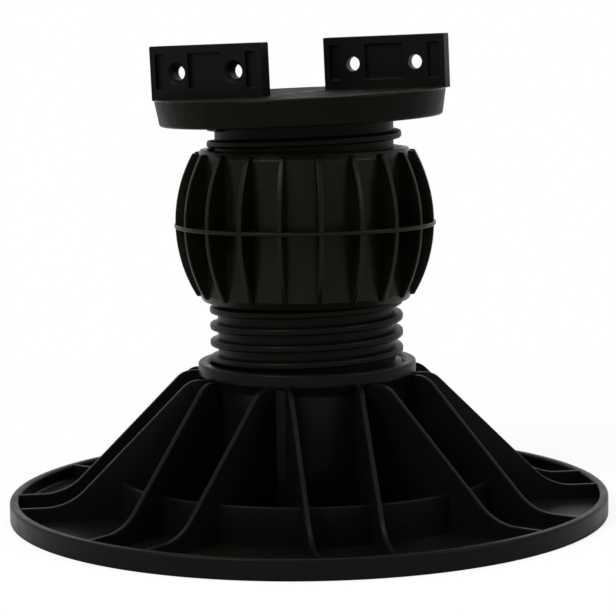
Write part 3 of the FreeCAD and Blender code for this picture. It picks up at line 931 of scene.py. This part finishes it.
def add_plug(builder, x, z, stations):
    """Adds a round plug along Y through its (y, radius) stations."""
    rings = []
    for y, radius in stations:
        ring = []
        for i in range(hole_sides):
            angle = 2 * math.pi * i / hole_sides
            ring.append(builder.verts.new((x + radius * math.cos(angle), y, z + radius * math.sin(angle))))
        rings.append(ring)
    builder.faces.new(rings[0])
    builder.faces.new(list(reversed(rings[-1])))
    for near, far in zip(rings, rings[1:]):
        for i in range(hole_sides):
            k = (i + 1) % hole_sides
            builder.faces.new((near[k], near[i], far[i], far[k]))


def pocketed_block(name):
    """Bracket block with its pockets and holes cut, foot on z 0 and countersunk face towards -Y."""
    half_length = bracket_length / 2
    half_wall = bracket_thickness / 2
    builder = bmesh.new()
    block_outline = rectangle((-half_length, half_length), (0, bracket_height), block_corner)
    add_prism(builder, block_outline, -half_wall, half_wall)
    block = place_piece(name, finish_mesh(name, builder), bracket_finish)

    inner = hole_spacing / 2 - hole_column / 2
    outer = hole_spacing / 2 + hole_column / 2
    end = half_length - bracket_side_frame
    heights = (bracket_foot_frame, bracket_height - bracket_top_frame)
    outer_span = (-half_wall - cutter_past, pocket_depth - half_wall)
    inner_span = (half_wall - pocket_depth, half_wall + cutter_past)
    for low, high in ((-end, -outer), (-inner, inner), (outer, end)):
        pocket = rectangle((low, high), heights, pocket_corner)
        for near, far in (outer_span, inner_span):
            cutter = bmesh.new()
            add_prism(cutter, pocket, near, far)
            cut_away(block, cutter)
    sink_slope = (countersink_radius - hole_radius) / countersink_depth
    sink_mouth = countersink_radius + cutter_past * sink_slope
    drill_stations = (
        (-half_wall - cutter_past, sink_mouth),
        (countersink_depth - half_wall, hole_radius),
        (half_wall + cutter_past, hole_radius),
    )
    for x in (-hole_spacing / 2, hole_spacing / 2):
        drill = bmesh.new()
        add_plug(drill, x, bracket_height / 2, drill_stations)
        cut_away(block, drill)
    soften_edges(block, bracket_edge)
    return plain_mesh(block)


bracket_finish = moulded_plastic(
    "bracket_plastic",
    colour=(0.0024, 0.0024, 0.0023),
    sheen_colour=(0.0040, 0.0040, 0.0038),
    grain_size=0.0008,
    gloss=0.34,
    grain_depth=0.00005,
    reflection=0.06,
    wave_depth=0.0001,
)
for side, stand in bracket_stands.items():
    bracket = pocketed_block("bracket_" + side)
    bracket.data.transform(lean @ stand)
    bracket.data.materials.clear()
    bracket.data.materials.append(bracket_finish)
    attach(bracket, "head")
    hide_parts("joist_bracket_" + side)


# Studio. A plain white floor that runs out of sight, an even white surround, and soft lamps at a plain level.
# To the camera and in reflections the surround is full white, and it lights the object less.
floor_size = 30.0
floor_white = (0.90, 0.90, 0.90, 1.0)
shadow_reach = 0.20
shadow_end = 0.60
near_white = 0.85
full_white = 1.0
surround_white = (1.0, 1.0, 1.0, 1.0)
surround_light = 0.45


def white_floor(name):
    """Matt white floor: mostly its own white to the camera, so that only a soft shadow shows."""
    material = bpy.data.materials.new(name)
    material.use_nodes = True
    nodes = material.node_tree.nodes
    links = material.node_tree.links
    nodes.remove(nodes["Principled BSDF"])
    seen = nodes.new("ShaderNodeLightPath")
    matt = nodes.new("ShaderNodeBsdfDiffuse")
    matt.inputs["Color"].default_value = floor_white
    glow = nodes.new("ShaderNodeEmission")
    glow.inputs["Strength"].default_value = full_white
    place = nodes.new("ShaderNodeTexCoord")
    distance = nodes.new("ShaderNodeVectorMath")
    distance.operation = "LENGTH"
    links.new(place.outputs["Object"], distance.inputs[0])
    own_white = nodes.new("ShaderNodeMapRange")
    own_white.inputs["From Min"].default_value = shadow_reach
    own_white.inputs["From Max"].default_value = shadow_end
    own_white.inputs["To Min"].default_value = near_white
    own_white.inputs["To Max"].default_value = full_white
    links.new(distance.outputs["Value"], own_white.inputs["Value"])
    share = nodes.new("ShaderNodeMath")
    share.operation = "MULTIPLY"
    links.new(seen.outputs["Is Camera Ray"], share.inputs[0])
    links.new(own_white.outputs["Result"], share.inputs[1])
    mix = nodes.new("ShaderNodeMixShader")
    links.new(share.outputs[0], mix.inputs[0])
    links.new(matt.outputs[0], mix.inputs[1])
    links.new(glow.outputs[0], mix.inputs[2])
    links.new(mix.outputs[0], nodes["Material Output"].inputs["Surface"])
    return material


floor_builder = bmesh.new()
bmesh.ops.create_grid(floor_builder, x_segments=1, y_segments=1, size=floor_size / 2)
floor_mesh = finish_mesh("studio_floor", floor_builder)
studio_floor = place_piece("studio_floor", floor_mesh, white_floor("floor_white"))

world = bpy.data.worlds.new("studio")
bpy.context.scene.world = world
world.use_nodes = True
sky = world.node_tree
background = sky.nodes["Background"]
background.inputs["Color"].default_value = surround_white
path_seen = sky.nodes.new("ShaderNodeLightPath")
bright = sky.nodes.new("ShaderNodeMapRange")
bright.inputs["To Min"].default_value = surround_light
bright.inputs["To Max"].default_value = full_white
either = sky.nodes.new("ShaderNodeMath")
either.operation = "MAXIMUM"
third = sky.nodes.new("ShaderNodeMath")
third.operation = "MAXIMUM"
sky.links.new(path_seen.outputs["Is Camera Ray"], either.inputs[0])
sky.links.new(path_seen.outputs["Is Glossy Ray"], either.inputs[1])
sky.links.new(either.outputs[0], third.inputs[0])
sky.links.new(path_seen.outputs["Is Transmission Ray"], third.inputs[1])
sky.links.new(third.outputs[0], bright.inputs["Value"])
sky.links.new(bright.outputs["Result"], background.inputs["Strength"])


def soft_lamp(name, place, target, size, power):
    """Square soft lamp that faces a target."""
    data = bpy.data.lights.new(name, "AREA")
    data.size = size
    data.energy = power
    lamp = bpy.data.objects.new(name, data)
    lamp.location = place
    lamp.rotation_euler = (Vector(target) - Vector(place)).to_track_quat("-Z", "Y").to_euler()
    bpy.context.scene.collection.objects.link(lamp)


aim = (0.0, 0.0, 0.12)
soft_lamp("key_lamp", place=(-1.3, -1.1, 1.5), target=aim, size=0.9, power=26.0)
soft_lamp("fill_lamp", place=(1.5, -1.0, 0.9), target=aim, size=0.9, power=9.0)
soft_lamp("top_lamp", place=(0.0, 0.2, 2.0), target=aim, size=1.0, power=14.0)


# Camera. A studio shot from a little above, with hardly any roll. Its place and focal length were fitted to
# the rim of the base and to the coupler, with the object turned a little on its upright axis.
photo_side = 616
focal_pixels = 2171.0
sensor = 36.0
view_turn = math.radians(-8.3)
view_pitch = math.radians(7.04)
view_roll = math.radians(0.82)
view_place = Vector((0.00086, -1.150, 0.251))

to_part = Matrix.Rotation(view_turn, 3, "Z")
forward = to_part @ Vector((0.0, math.cos(view_pitch), -math.sin(view_pitch)))
level_right = to_part @ Vector((1.0, 0.0, 0.0))
level_up = level_right.cross(forward)
right = level_right * math.cos(view_roll) - level_up * math.sin(view_roll)
up = level_right * math.sin(view_roll) + level_up * math.cos(view_roll)
camera_data = bpy.data.cameras.new("photo_camera")
camera_data.sensor_width = sensor
camera_data.lens = focal_pixels / photo_side * sensor
camera = bpy.data.objects.new("photo_camera", camera_data)
stance = Matrix((right, up, -forward)).transposed().to_4x4()
camera.matrix_world = Matrix.Translation(to_part @ view_place) @ stance
bpy.context.scene.collection.objects.link(camera)
bpy.context.scene.camera = camera
bpy.context.scene.view_settings.view_transform = "Standard"
